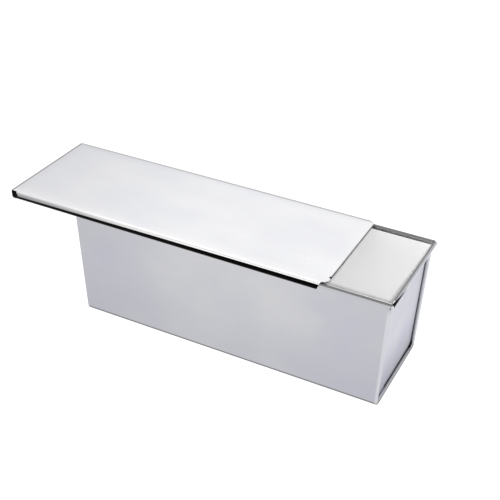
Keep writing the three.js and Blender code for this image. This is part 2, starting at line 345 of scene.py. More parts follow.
def ease(t):
    """Rises smoothly from 0 to 1 as t does."""
    t = min(1, max(0, t))
    return t * t * (3 - 2 * t)


def wave(place, seed):
    """A slow uneven height at a place on a sheet."""
    return wave_height * noise.noise(place / wave_length + Vector((0, 0, seed)))


# %% [markdown]
# Sheet steel comes from rollers, so its finest marks run one way, its coating has soft cloudy
# patches, and use leaves thin straight scratches. One group of nodes draws all three for every
# steel of the pan. It gives out plain values, and each steel decides what they change.

# %% Marks of rolled sheet


def shader_group(name, outputs):
    """A group of nodes with named outputs, and its output node."""
    group = bpy.data.node_groups.new(name, "ShaderNodeTree")
    for output in outputs:
        group.interface.new_socket(output, in_out="OUTPUT", socket_type="NodeSocketFloat")
    return group, group.nodes.new("NodeGroupOutput")


def stretched_noise(tree, scale, detail):
    """Noise in the object's own space, with a scale for each axis."""
    place = add_node(tree, "ShaderNodeTexCoord").outputs["Object"]
    stretched = add_node(tree, "ShaderNodeMapping", {"Vector": place, "Scale": scale})
    sockets = {"Vector": stretched.outputs["Vector"], "Scale": 1.0, "Detail": detail}
    return add_node(tree, "ShaderNodeTexNoise", sockets).outputs["Fac"]


grain_scale = (180, 2400, 2400)
cloud_scale = (16, 30, 24)
scratch_scale = (9, 700, 700)
scratch_edge = (0.66, 0.74)
rolled_sheet, rolled_out = shader_group("rolled_sheet", ["Grain", "Clouds", "Scratches"])
grain = stretched_noise(rolled_sheet, grain_scale, 2.0)
clouds = stretched_noise(rolled_sheet, cloud_scale, 3.0)
lines = stretched_noise(rolled_sheet, scratch_scale, 1.0)
scratches = ramp(rolled_sheet, lines, *scratch_edge)
rolled_sheet.links.new(grain, rolled_out.inputs["Grain"])
rolled_sheet.links.new(clouds, rolled_out.inputs["Clouds"])
rolled_sheet.links.new(scratches, rolled_out.inputs["Scratches"])
print("marks on the sheet: grain, clouds and scratches")

# %% [markdown]
# Some tints belong to a place on the pan: the frame of the seams gets a painted highlight, the
# slit beside it painted black shadow, and the crest of the beads painted shade. A second group
# works out the distances for this: the depth in from the outer face of the long sheet, the inset
# from the end of its frame, the height, the turn round the wire of a bead (0 outward, a quarter
# turn at the crest), the way along an end bead from its corner, and the place along Y. It also
# tells the end beads and the right half.

# %% Distances on the pan
pan_outputs = ["Depth", "Inset", "Height", "Turn", "Along end", "On end", "Right", "Along Y"]
pan_places, places_out = shader_group("pan_places", pan_outputs)


def worked(operation, *values):
    return work_out(pan_places, operation, *values)


place = add_node(pan_places, "ShaderNodeTexCoord").outputs["Object"]
axes = add_node(pan_places, "ShaderNodeSeparateXYZ", {"Vector": place})
far_x = worked("ABSOLUTE", axes.outputs["X"])
far_y = worked("ABSOLUTE", axes.outputs["Y"])
up = axes.outputs["Z"]
drafted = worked("MULTIPLY", up, wall_draft / pan_height)
inset = worked("SUBTRACT", worked("ADD", drafted, base_length / 2), far_x)
beyond_y = worked("SUBTRACT", far_y, worked("ADD", drafted, base_width / 2 - bottom_bend))
beyond_z = worked("SUBTRACT", bottom_bend, up)
round_y = worked("POWER", worked("MAXIMUM", beyond_y, 0.0), 2.0)
round_z = worked("POWER", worked("MAXIMUM", beyond_z, 0.0), 2.0)
outward = worked("SQRT", worked("ADD", round_y, round_z))
flat = worked("MINIMUM", worked("MAXIMUM", beyond_y, beyond_z), 0.0)
depth = worked("SUBTRACT", bottom_bend, worked("ADD", outward, flat))
across_end = worked("SUBTRACT", far_x, wire_x)
across_side = worked("SUBTRACT", far_y, wire_y)
turn = worked("ARCTAN2", worked("SUBTRACT", up, bead_z), worked("MAXIMUM", across_end, across_side))
along_end = worked("SUBTRACT", wire_y, far_y)
on_end = worked("GREATER_THAN", across_end, across_side)
on_right = worked("GREATER_THAN", axes.outputs["X"], 0.0)
distances = (depth, inset, up, turn, along_end, on_end, on_right, axes.outputs["Y"])
for name, value in zip(pan_outputs, distances):
    pan_places.links.new(value, places_out.inputs[name])
print("distances:", pan_outputs)

# %% [markdown]
# A satin steel is a metal shader whose colour, roughness and fine relief come from these values.
# The helper below makes one. The tint is handed in as a function, because it is what differs. Every
# tint is a level of grey with a share of blue, in soft patches that the clouds of the sheet give.

# %% Satin steel
cloud_patches = (0.35, 0.65)
gloss_clouds = (0.3, 0.7)
smoother = 0.04
rougher = 0.05
scratch_gloss = 0.06
scratch_height = -0.5
relief_height = 0.1 * MM


def satin_steel(name, tint, roughness, relief=0.05):
    """A metal whose colour is its tint, and whose gloss and relief follow the marks of the sheet."""
    material = bpy.data.materials.new(name)
    material.use_nodes = True
    tree = material.node_tree
    shader = tree.nodes["Principled BSDF"]
    marks = add_node(tree, "ShaderNodeGroup", node_tree=rolled_sheet)
    places = add_node(tree, "ShaderNodeGroup", node_tree=pan_places)
    tree.links.new(tint(tree, marks, places), shader.inputs["Base Color"])
    shader.inputs["Metallic"].default_value = 1
    scratches = marks.outputs["Scratches"]
    gloss = ramp(tree, marks.outputs["Clouds"], *gloss_clouds, roughness - smoother, roughness + rougher)
    worn = work_out(tree, "MULTIPLY", scratches, scratch_gloss)
    tree.links.new(work_out(tree, "SUBTRACT", gloss, worn), shader.inputs["Roughness"])
    height = work_out(tree, "MULTIPLY_ADD", scratches, scratch_height, marks.outputs["Grain"])
    sockets = {"Height": height, "Strength": relief, "Distance": relief_height}
    bump = add_node(tree, "ShaderNodeBump", sockets)
    tree.links.new(bump.outputs["Normal"], shader.inputs["Normal"])
    return material


def grey(level, blue=0.0):
    """A neutral or slightly blue colour."""
    return (level, level * (1 + blue / 12), level * (1 + blue), 1)


def clouded(tree, marks, level, blue=0.0, contrast=0.03):
    """A tint in soft patches, a little brighter and duller than its level."""
    patches = ramp(tree, marks.outputs["Clouds"], *cloud_patches)
    bright = grey(level * (1 + contrast / 2), blue * 0.7)
    return blend(tree, patches, bright, grey(level * (1 - contrast / 2), blue * 1.3))


# Painted shadow: a near-black tint that stands in for shade in seams, gaps and under the lid's skirts.
PAINTED_SHADOW = grey(0.001)
print("blackest shadow:", PAINTED_SHADOW)

# %% [markdown]
# Where a tint belongs is told by masks, which are 1 inside a place and 0 outside. A mask starts as
# a soft step along one distance. Several steps multiplied give the place where all of them are,
# and the largest of several gives the place where any of them is.

# %% Helpers for masks


def past(tree, value, low, high):
    """A mask that comes up from 0 to 1 between two values."""
    return ramp(tree, value, low, high)


def before(tree, value, low, high):
    """A mask that goes down from 1 to 0 between two values."""
    return ramp(tree, value, low, high, 1.0, 0.0)


def joined(tree, operation, masks):
    """Several masks worked out together, one after another."""
    whole = masks[0]
    for mask in masks[1:]:
        whole = work_out(tree, operation, whole, mask)
    return whole


def all_of(tree, *masks):
    return joined(tree, "MULTIPLY", masks)


def any_of(tree, *masks):
    return joined(tree, "MAXIMUM", masks)


def within(tree, value, low, high, soft):
    """A mask for a value between two limits, with soft edges."""
    return all_of(tree, past(tree, value, low, low + soft), before(tree, value, high - soft, high))


# %% [markdown]
# The outer faces are one steel, but they mirror different parts of the studio, and this is painted
# into their tints. Painted shade makes the walls a little darker towards their ends and foot, and a
# painted dark line runs along the bend at the bottom. The end panels are bluer, with painted shade
# at their foot. Each pair of distances below is a stretch over which one tint fades into the next,
# and each steel is its level and its share of blue.

# %% Tints of the walls and end panels
# Painted shade: the end, foot and bend levels are darker stand-ins for shade and dark reflections.
wall_end_shaded_steel = (0.51, 0.10)
wall_middle_steel = (0.58, 0.05)
wall_foot_shaded_steel = (0.42, 0.16)
bend_painted_shade = (0.16, 0.05)
panel_foot_shaded_steel = (0.40, 0.16)
panel_top_steel = (0.60, 0.14)
wall_end_fade = (0.0, 110 * MM)
wall_foot_fade = (0.0, 80 * MM)
wall_foot_share = 0.35
bend_line = (4 * MM, 6 * MM)
panel_fade = (2 * MM, 60 * MM)
panel_depth = (1.6 * MM, 2.2 * MM)
panel_inset = (4 * MM, 5 * MM)


def wall_tint(tree, marks, inset, height):
    """Bright, with painted shade towards the ends and the foot and a painted dark line at the bottom bend."""
    shaded_end = clouded(tree, marks, *wall_end_shaded_steel)
    wall = blend(tree, past(tree, inset, *wall_end_fade), shaded_end, clouded(tree, marks, *wall_middle_steel))
    foot_shade = ramp(tree, height, *wall_foot_fade, wall_foot_share, 0.0)
    wall = blend(tree, foot_shade, wall, grey(*wall_foot_shaded_steel))
    return blend(tree, before(tree, height, *bend_line), wall, grey(*bend_painted_shade))


def panel_tint(tree, marks, height):
    """Bluer than the walls, with painted shade towards the foot."""
    at_foot = clouded(tree, marks, *panel_foot_shaded_steel)
    return blend(tree, past(tree, height, *panel_fade), at_foot, clouded(tree, marks, *panel_top_steel))


def on_panel(tree, depth, inset):
    return all_of(tree, past(tree, depth, *panel_depth), before(tree, inset, *panel_inset))


print("wall from", wall_end_shaded_steel, "to", wall_middle_steel, "and end panel to", panel_top_steel)

# %% [markdown]
# The hem round each end panel is folded sheet, and its round edge gets a painted highlight as a
# pale frame. Along the foot the fold is wider, and its underside gets painted shade. The painted
# frame stops below the rim, where the hem gives way to the small tab.

# %% Tint of the seam frames
# Painted highlight on the frame, and painted shade under the fold.
frame_painted_highlight = (0.62, 0.07)
under_fold_painted_shade = (0.28, 0.0)
frame_inset = (1.4 * MM, 3.2 * MM)
frame_top = (101 * MM, 107 * MM)
foot_height = (3 * MM, 6 * MM)
foot_inset = (2.4 * MM, 2.8 * MM)
fold_depth = (0.2 * MM, 1.1 * MM)
under_fold_depth = (2.3 * MM, 2.65 * MM)


def on_frame_highlight(tree, depth, inset, height, on_right):
    """Where the painted highlight goes: the round edge of the hem, wider along the foot, and on the left
    without its outer face.
    """
    along_foot = all_of(tree, before(tree, height, *foot_height), before(tree, inset, *foot_inset))
    near_end = any_of(tree, before(tree, inset, *frame_inset), along_foot)
    on_fold = any_of(tree, past(tree, depth, *fold_depth), on_right)
    return all_of(tree, near_end, on_fold, before(tree, height, *frame_top))


def frame_highlight_tint(tree, depth, height):
    """A painted highlight, with painted shade under the fold at the foot."""
    under_fold = all_of(tree, before(tree, height, *foot_height), before(tree, depth, *under_fold_depth))
    return blend(tree, under_fold, grey(*frame_painted_highlight), grey(*under_fold_painted_shade))


print("frame", frame_painted_highlight, "up to", frame_top)

# %% [markdown]
# Three places of a seam look black: the slit between the hem and the panel, the pocket where the
# slit turns the lower back corner, and the edge of the tab under a rim corner. They are narrow and
# deep, but the bright metal in them would still mirror some of the studio, so painted shadow, a
# near-black tint, is put on the steel there. On the right foot the painted slit is left out near
# the front and starts further back.

# %% Black shadows in the seams
slit_inset = (2.65 * MM, 5 * MM)
slit_depth = (2.7 * MM, 6 * MM)
slit_top = (hem_top - 1 * MM, hem_top)
slit_edge = 0.2 * MM
slit_opens = (22 * MM, 28 * MM)
slit_rises = (6 * MM, 9 * MM)
pocket_inset = (1.6 * MM, 5 * MM)
pocket_depth = (1.9 * MM, 5.2 * MM)
pocket_height = (2.4 * MM, 6.4 * MM)
pocket_start = (90 * MM, 91 * MM)
pocket_edge = 0.3 * MM
tab_inset = (0.5 * MM, 0.8 * MM)
tab_depth = (0.9 * MM, 1.3 * MM)
tab_height = (hem_top, hem_top + 0.5 * MM)


# Masks for the painted shadow in the seams.
def in_slit(tree, depth, inset, height, from_front, on_right):
    opened = any_of(
        tree,
        past(tree, from_front, *slit_opens),
        past(tree, height, *slit_rises),
        work_out(tree, "SUBTRACT", 1.0, on_right),
    )
    return all_of(
        tree,
        within(tree, inset, *slit_inset, slit_edge),
        within(tree, depth, *slit_depth, pocket_edge),
        before(tree, height, *slit_top),
        opened,
    )


def in_pocket(tree, depth, inset, height, from_front):
    return all_of(
        tree,
        within(tree, inset, *pocket_inset, pocket_edge),
        within(tree, depth, *pocket_depth, pocket_edge),
        within(tree, height, *pocket_height, pocket_edge),
        past(tree, from_front, *pocket_start),
    )


def on_tab_edge(tree, depth, inset, height):
    return all_of(
        tree,
        before(tree, inset, *tab_inset),
        before(tree, depth, *tab_depth),
        past(tree, height, *tab_height),
    )


def outer_tint(tree, marks, places):
    """Walls and panels, a painted highlight as a pale frame round the panels, and painted shadow in the
    seams.
    """
    depth, inset = places.outputs["Depth"], places.outputs["Inset"]
    height, on_right = places.outputs["Height"], places.outputs["Right"]
    from_front = work_out(tree, "ADD", places.outputs["Along Y"], base_width / 2)
    wall = wall_tint(tree, marks, inset, height)
    sided = blend(tree, on_panel(tree, depth, inset), wall, panel_tint(tree, marks, height))
    hem_highlight = on_frame_highlight(tree, depth, inset, height, on_right)
    framed = blend(tree, hem_highlight, sided, frame_highlight_tint(tree, depth, height))
    dark = any_of(
        tree,
        in_slit(tree, depth, inset, height, from_front, on_right),
        in_pocket(tree, depth, inset, height, from_front),
        on_tab_edge(tree, depth, inset, height),
    )
    return blend(tree, dark, framed, PAINTED_SHADOW)


outer_steel = satin_steel("outer_steel", outer_tint, 0.38)
print("made", outer_steel.name)

# %% [markdown]
# The inside has its coating baked matt, so less of it is mirror and more is plain pale grey. At the
# back of the open end of the mouth it gets a painted pool of light, and the photograph shows it as
# one pale field; towards the rim that painted light gives way to painted shade. Further in it gets
# painted shade too, or it would burn out when the lid is off.

# %% Steel of the inside
inner_metal = 0.3
# Painted light and shade: the mouth level is a painted pool of light, the rim and inner levels painted shade.
inner_painted_shade = (0.5, 0.02, 0.12)
mouth_painted_light = (0.93, 0.0, 0.02)
mouth_rim_painted_shade = (0.77, 0.0, 0.02)
mouth_rim_shade_fade = (45 * MM, 108 * MM)
mouth_fade = (100 * MM, 150 * MM)
back_fade = (10 * MM, 46 * MM)
floor_fade = (8 * MM, 44 * MM)


def inner_tint(tree, marks, places):
    """A painted pool of light at the back of the open end, with painted shade near the rim and further in."""
    height = places.outputs["Height"]
    rim_steel = clouded(tree, marks, *mouth_rim_painted_shade)
    mouth_light = blend(tree, past(tree, height, *mouth_rim_shade_fade), clouded(tree, marks, *mouth_painted_light), rim_steel)
    lit_mouth = all_of(
        tree,
        before(tree, places.outputs["Inset"], *mouth_fade),
        past(tree, places.outputs["Along Y"], *back_fade),
        past(tree, height, *floor_fade),
        places.outputs["Right"],
    )
    return blend(tree, lit_mouth, clouded(tree, marks, *inner_painted_shade), mouth_light)


inner_steel = satin_steel("inner_steel", inner_tint, 0.5)
inner_steel.node_tree.nodes["Principled BSDF"].inputs["Metallic"].default_value = inner_metal
print("made", inner_steel.name, "with a metal share of", inner_metal)

# %% [markdown]
# Round the rim the sheet is stretched over the wire. Along the crest it gets painted shade, the
# outer side is painted paler, and the side towards the mouth gets a painted highlight. At the
# front corner of each end bead a painted shadow lies in a black wedge that is high at the corner
# and runs out along the bead.

# %% Steel of the beads and the wire
# Painted light on the beads: shade over the crest, a highlight towards the mouth, paler outer sides.
crest_painted_shade = (0.2, 0.02, 0.2)
side_bead_steel = (0.53, 0.04)
end_bead_steel = (0.74, 0.08)
bead_painted_highlight = (0.98, 0.0)
bare_wire_steel = (0.28, 0.0, 0.2)
wedge_length = 33 * MM
wedge_run_out = 6 * MM
wedge_edge = 0.06
front_line = -0.9 * wire_y


def turns(low, high):
    """A stretch of the turn round the wire, given in degrees."""
    return math.radians(low), math.radians(high)


side_crest = turns(8, 42)
end_crest = turns(30, 100)
inner_side = turns(145, 170)
front_highlight = turns(74, 90)
right_highlight = turns(110, 124)
wedge_foot, wedge_top = turns(-14, 90)
outer_half = (1.6, 1.7)


def on_bead_highlight(tree, turn, places):
    """Where the painted highlight goes: towards the mouth, and close to the crest where it shows."""
    whole_turn = work_out(tree, "WRAP", turn, math.radians(270), math.radians(-90))
    in_front = work_out(tree, "LESS_THAN", places.outputs["Along Y"], front_line)
    on_right_end = all_of(tree, places.outputs["On end"], places.outputs["Right"])
    return any_of(
        tree,
        past(tree, whole_turn, *inner_side),
        all_of(tree, past(tree, turn, *front_highlight), in_front),
        all_of(tree, past(tree, turn, *right_highlight), on_right_end),
    )


def in_wedge(tree, turn, places):
    """The painted shadow in a wedge by the front corner of an end bead."""
    along = places.outputs["Along end"]
    slope_down = {"Value": along, "From Max": wedge_length, "To Min": wedge_top, "To Max": wedge_foot}
    wedge_line = add_node(tree, "ShaderNodeMapRange", slope_down).outputs["Result"]
    return all_of(
        tree,
        before(tree, work_out(tree, "SUBTRACT", turn, wedge_line), -wedge_edge, wedge_edge),
        before(tree, along, wedge_length - wedge_run_out, wedge_length),
        before(tree, work_out(tree, "ABSOLUTE", turn), *outer_half),
        work_out(tree, "LESS_THAN", places.outputs["Along Y"], 0.0),
        places.outputs["On end"],
    )


def bead_tint(tree, marks, places):
    """Painted shade over the crest, paler outside, a painted highlight towards the mouth, and painted shadow
    in the wedge.
    """
    turn = places.outputs["Turn"]
    crest_shade = clouded(tree, marks, *crest_painted_shade)
    side_bead = blend(tree, past(tree, turn, *side_crest), clouded(tree, marks, *side_bead_steel), crest_shade)
    end_bead = blend(tree, past(tree, turn, *end_crest), grey(*end_bead_steel), crest_shade)
    bead = blend(tree, places.outputs["On end"], side_bead, end_bead)
    bead = blend(tree, on_bead_highlight(tree, turn, places), bead, grey(*bead_painted_highlight))
    return blend(tree, in_wedge(tree, turn, places), bead, PAINTED_SHADOW)


def wire_tint(tree, marks, places):
    return clouded(tree, marks, *bare_wire_steel)


bead_steel = satin_steel("bead_steel", bead_tint, 0.3)
wire_steel = satin_steel("drawn_wire_steel", wire_tint, 0.25)
print("made", bead_steel.name, "and", wire_steel.name)

# %% [markdown]
# The lid is a little brighter than the pan. Its plate gets painted shade towards the left and along
# its far and left edges, and a painted highlight on its front bend. The skirts are painted from grey
# to bright. Below them, the rolled foot of each channel is painted black as shadow, and so is the
# slanted corner at the left. At the right, the hem gets painted shade, and its end and the plate's
# cut edge are painted dark as shadow.

# %% Sizes and tints of the lid
lid_low, lid_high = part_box("lid")
lid_top = lid_high.z
lid_half = lid_high.y
lid_skirt = 8.6 * MM
lid_hem_round = 0.8 * MM
foot_left = 3.8 * MM
foot_right = 6.2 * MM
foot_edge = 0.2 * MM

# Painted light and shade: the left plate, edges, left skirt and hem are painted shade, the front bend a
# painted highlight.
plate_left_shaded_steel = (0.75, 0.04)
plate_right_steel = (0.9, 0.03, 0.02)
far_edge_painted_shade = (0.62, 0.03)
left_edge_painted_shade = (0.4, 0.03)
front_bend_painted_highlight = (1.0, 0.0)
skirt_left_shaded_steel = (0.34, 0.02)
skirt_right_lit_steel = (0.98, 0.0)
lid_hem_painted_shade = (0.24, 0.0)
plate_share = (-0.15, 0.65)
bend_share = (0.15, 0.4)
skirt_share = (0.04, 0.74)
far_edge = (lid_half - 4.4 * MM, lid_half - 3.4 * MM)
left_edge = (lid_low.x + 2.6 * MM, lid_low.x + 3.8 * MM)
front_bend = (1.8 * MM - lid_half, 2.8 * MM - lid_half)
skirt_height = (lid_top - 2.4 * MM, lid_top - 1.2 * MM)
print("lid from", round(lid_low.x, 4), "to", round(lid_high.x, 4), "and", round(2 * lid_half, 4), "wide")

# %% [markdown]
# The lid's tints read the place on the lid itself, so they stay where they are when it slides.
# Along is the share of the way from its left end to its right end.

# %% Plate, skirts and feet of the lid


def plate_tint(tree, marks, along, x, y):
    """Painted light: brighter to the right with a painted highlight on the front bend, painted shade on the
    far and left edges.
    """
    at_left = clouded(tree, marks, *plate_left_shaded_steel)
    plate = blend(tree, past(tree, along, *plate_share), at_left, clouded(tree, marks, *plate_right_steel))
    plate = blend(tree, past(tree, y, *far_edge), plate, grey(*far_edge_painted_shade))
    plate = blend(tree, before(tree, x, *left_edge), plate, grey(*left_edge_painted_shade))
    on_bend = all_of(tree, before(tree, y, *front_bend), past(tree, along, *bend_share))
    return blend(tree, on_bend, plate, grey(*front_bend_painted_highlight))


def under_foot(tree, along, z):
    """Where painted shadow covers the rolled foot of the skirts, higher towards the right."""
    foot = ramp(tree, along, -1.0, 1.0, 2 * foot_left - foot_right, foot_right)
    foot = work_out(tree, "MAXIMUM", foot, foot_left)
    over_foot = work_out(tree, "SUBTRACT", z, work_out(tree, "ADD", foot, lid_top - lid_skirt))
    return before(tree, over_foot, -foot_edge, foot_edge)


print("black foot of the skirts from", foot_left, "to", foot_right, "high")

# %% [markdown]
# Three small painted shadows finish the lid. The one at the corner by the stop is cut off along a
# slant, which a sum of the place along X and a share of the height draws. At the right, painted
# shadow marks the cut edge of the plate beyond the channel, and the end of the hem where it stops
# short of the corner.

# %% Shadows at the corners of the lid
corner_slope = 0.4
corner_reach = lid_low.x + 7.4 * MM + corner_slope * lid_top
corner_slant = (corner_reach - 1 * MM, corner_reach)
corner_side = (lid_half - 3.6 * MM, lid_half - 2.8 * MM)
corner_top = (lid_top - 0.4 * MM, lid_top - 0.15 * MM)
cut_start = (lid_high.x - 5.3 * MM, lid_high.x - 5.0 * MM)
cut_side = (lid_half - 4.4 * MM, lid_half - 4.0 * MM)
cut_top = (lid_top - 0.14 * MM, lid_top - 0.06 * MM)
hem_end_start = (lid_high.x - 2.0 * MM, lid_high.x - 1.6 * MM)
hem_end_stretch = (9.6 * MM, 12.6 * MM)
hem_end_edge = 0.4 * MM
hem_line = (lid_high.x - 1.2 * MM, lid_high.x - 0.6 * MM)
hem_line_start = (10.0 * MM, 10.6 * MM)


# Masks for the painted shadows at the corners of the lid.
def at_corners(tree, x, far_y, z, from_front):
    slant = work_out(tree, "MULTIPLY_ADD", z, corner_slope, x)
    return any_of(
        tree,
        all_of(
            tree,
            before(tree, slant, *corner_slant),
            past(tree, far_y, *corner_side),
            before(tree, z, *corner_top),
        ),
        all_of(
            tree,
            past(tree, x, *cut_start),
            past(tree, far_y, *cut_side),
            before(tree, z, *cut_top),
        ),
        all_of(
            tree,
            past(tree, x, *hem_end_start),
            within(tree, from_front, *hem_end_stretch, hem_end_edge),
        ),
    )


def lid_tint(tree, marks, places):
    """A bright plate, skirts painted from grey to bright, and painted shadow on the foot under them."""
    place = add_node(tree, "ShaderNodeTexCoord").outputs["Object"]
    axes = add_node(tree, "ShaderNodeSeparateXYZ", {"Vector": place})
    x, y, z = axes.outputs["X"], axes.outputs["Y"], axes.outputs["Z"]
    span = {"Value": x, "From Min": lid_low.x, "From Max": lid_high.x}
    along = add_node(tree, "ShaderNodeMapRange", span).outputs["Result"]
    far_y = work_out(tree, "ABSOLUTE", y)
    from_front = work_out(tree, "ADD", y, lid_half)
    plate = plate_tint(tree, marks, along, x, y)
    skirt = blend(tree, past(tree, along, *skirt_share), grey(*skirt_left_shaded_steel), grey(*skirt_right_lit_steel))
    sided = blend(tree, before(tree, z, *skirt_height), plate, skirt)
    # Painted shade on the hem at the right end.
    on_hem = all_of(tree, past(tree, x, *hem_line), past(tree, from_front, *hem_line_start))
    hemmed = blend(tree, on_hem, sided, grey(*lid_hem_painted_shade))
    footed = blend(tree, under_foot(tree, along, z), hemmed, PAINTED_SHADOW)
    return blend(tree, at_corners(tree, x, far_y, z, from_front), footed, PAINTED_SHADOW)


lid_steel = satin_steel("lid_sheet_steel", lid_tint, 0.34)
print("materials:", [material.name for material in bpy.data.materials])

# %% [markdown]
# One long sheet makes the front wall, the bottom and the back wall. Its section is drawn with a
# few vertices and extruded along the pan. The two bottom edges get their bend, and cuts across
# the sheet give it the points that the waves need.

# %% The long sheet, bent into a trough
bend_segments = 16
curl_steps = 36
cut_pitch = 5 * MM
tab_rise = 0.4 * MM
tab_foot = hem_top + tab_rise
trough_half = end_x(0) - hem_round


def trough_x(z):
    """How far the flat of the long sheet reaches along X at a height, up to its hem."""
    return end_x(z) - hem_round


def long_sheet():
    bm = bmesh.new()
    heights = [bead_z, sheet_top, tab_foot, hem_top, 0]
    front = [(-wall_y(z), z) for z in heights]
    back = [(-y, z) for y, z in reversed(front)]
    section = [bm.verts.new((-1, y, z)) for y, z in front + back]
    edges = [bm.edges.new(pair) for pair in zip(section, section[1:])]
    far = verts_in(bmesh.ops.extrude_edge_only(bm, edges=edges))
    bmesh.ops.translate(bm, verts=far, vec=(2, 0, 0))
    folds = [
        edge
        for edge in edges_of(bm, lambda p: abs(p.z) < TINY)
        if abs(edge.verts[0].co.y - edge.verts[1].co.y) < TINY
    ]
    bmesh.ops.bevel(
        bm,
        geom=folds,
        offset=bottom_bend / math.tan((QUARTER + slope) / 2),
        offset_type="OFFSET",
        segments=bend_segments,
        profile=0.5,
        affect="EDGES",
        material=-1,
    )
    for vert in bm.verts:
        vert.co.x = math.copysign(trough_x(vert.co.z), vert.co.x)
    cut(bm, 0, steps_between(-trough_half, trough_half, cut_pitch))
    cut(bm, 2, steps_between(bottom_bend, hem_top, cut_pitch))
    cut(bm, 1, steps_between(bottom_bend - base_width / 2, base_width / 2 - bottom_bend, cut_pitch))
    face_front(bm, (0, -wall_y(pan_height / 2), pan_height / 2), (0, -1, 0))
    return bm


def ripple_trough(bm):
    """Gives the two walls and the bottom their shallow waves."""
    bm.normal_update()
    moves = {}
    for vert in bm.verts:
        x, y, z = vert.co
        to_end = (trough_half - abs(x)) / wave_fade
        on_wall = abs(y) > base_width / 2 - bottom_bend
        to_fold = min(z - bottom_bend, sheet_top - z) if on_wall else base_width / 2 - bottom_bend - abs(y)
        fade = ease(to_end) * ease(to_fold / wave_fade)
        moves[vert] = vert.normal * fade * wave(vert.co, 0 if y < 0 else 5)
    for vert, move in moves.items():
        vert.co += move
        vert.co.z = max(0, vert.co.z)


def wrap_bead(bm, side):
    """Curls one long top edge round the rim wire."""
    top = edges_of(bm, lambda p: p.z > bead_z - TINY and p.y * side > 0)
    geometry = once_each(vert for edge in top for vert in edge.verts) + top
    bmesh.ops.spin(
        bm,
        geom=geometry,
        cent=(0, side * wire_y, bead_z),
        axis=(1, 0, 0),
        angle=-side * curl_angle,
        steps=curl_steps,
        dvec=(0, 0, 0),
    )


mitre_gap = 0.75 * MM
bead_reach = 0.6 * MM
bead_end_slack = 0.5 * MM


def near_wire(place):
    across = min(abs(abs(place.y) - wire_y), abs(abs(place.x) - wire_x))
    return place.z > sheet_top and math.hypot(across, place.z - bead_z) < bead_radius + TINY


def mitre_beads(bm, axis):
    """Lengthens the beads along one axis and cuts their ends along the rim's diagonals."""
    other = 1 - axis
    wire = (wire_x, wire_y)
    bead_end = wire[axis] - wire_bend - bead_end_slack
    ends = [
        edge
        for edge in rim_edges(bm, lambda p: near_wire(p) and abs(p[axis]) > bead_end)
        if abs(edge.verts[0].co[axis] - edge.verts[1].co[axis]) < TINY
    ]
    for vert in verts_in(bmesh.ops.extrude_edge_only(bm, edges=ends)):
        vert.co[axis] = math.copysign(wire[axis] - bead_reach, vert.co[axis])
    for side_x in (-1, 1):
        for side_y in (-1, 1):
            sides = (side_x, side_y)
            corner = Vector((side_x * wire_x, side_y * wire_y, bead_z))
            normal = Vector((0, 0, 0))
            normal[axis] = sides[axis]
            normal[other] = -sides[other]
            start = corner.copy()
            start[axis] -= sides[axis] * mitre_gap
            faces = [face for face in bm.faces if (face.calc_center_median() - corner).length < 2 * wire_bend]
            faces = [face for face in faces if all(near_wire(vert.co) for vert in face.verts)]
            parts = once_each(part for face in faces for part in (*face.verts, *face.edges))
            bmesh.ops.bisect_plane(
                bm,
                geom=faces + parts,
                dist=TINY,
                plane_co=start,
                plane_no=normal,
                clear_outer=True,
            )


wrapper = long_sheet()
ripple_trough(wrapper)
for side in (-1, 1):
    wrap_bead(wrapper, side)
mitre_beads(wrapper, 0)
print("trough with curls:", len(wrapper.faces), "faces")

# %% [markdown]
# Both ends of the long sheet are folded back on themselves into a hem that grips the flanges of
# the end panel. Above the hem a small tab is left, which tucks in under the corner of the rim.
# Each step of the fold is one extrusion of the end's edge, carried round a half circle.

# %% Hemmed ends
hem_steps = 14
lip_end = hem_depth - seam_gap


def hem_section():
    """How far in from the end and how deep the skin lies, step by step round the fold."""
    turns = [QUARTER * (2 * i / hem_steps - 1) for i in range(1, hem_steps + 1)]
    fold = [(hem_round * (1 - math.cos(t)), hem_round * (1 + math.sin(t))) for t in turns]
    return fold + [(lip_end, hem_thickness)]


def fold_hem(bm, side):
    def on_end(p):
        return side * p.x > trough_x(p.z) - TINY

    tabs = rim_edges(bm, lambda p: on_end(p) and tab_foot - TINY < p.z < sheet_top + TINY)
    tips = verts_in(bmesh.ops.extrude_edge_only(bm, edges=tabs))
    bmesh.ops.translate(bm, verts=tips, vec=(side * hem_round, 0, 0))
    edges = rim_edges(bm, lambda p: on_end(p) and p.z < hem_top + TINY)
    bm.normal_update()
    starts = {vert: (vert.co.copy(), -vert.normal) for edge in edges for vert in edge.verts}
    for inset, depth in hem_section():
        made = bmesh.ops.extrude_edge_only(bm, edges=edges)
        fresh = set(verts_in(made))
        moved = {}
        for vert, (start, inward) in starts.items():
            tip = next(e.other_vert(vert) for e in vert.link_edges if e.other_vert(vert) in fresh)
            inward = Vector((0, inward.y, inward.z)).normalized()
            place = start + inward * depth
            tip.co = (side * (end_x(place.z) - inset), place.y, place.z)
            moved[tip] = (start, inward)
        starts = moved
        edges = [item for item in made["geom"] if isinstance(item, bmesh.types.BMEdge)]


def mark_beads(bm):
    """Gives the faces that lie round the rim wire their own pair of materials."""
    for face in bm.faces:
        if near_wire(face.calc_center_median()):
            face.material_index = 2


for side in (-1, 1):
    fold_hem(wrapper, side)
mark_beads(wrapper)
face_front(wrapper, (0, -wall_y(pan_height / 2), pan_height / 2), (0, -1, 0))
sheet_piece(
    "long_sheet",
    wrapper,
    [outer_steel, inner_steel, wire_steel, bead_steel],
    "pan",
    "body_wrapper",
)

# %% [markdown]
# Each end of the pan is a panel with a flange turned outward along its sides and foot, which sits
# in the hem. The skin is the face that the loaf touches. Its top leans out to the rim and curls
# round the wire, and the lean is short beside the seam frame and long in the middle.

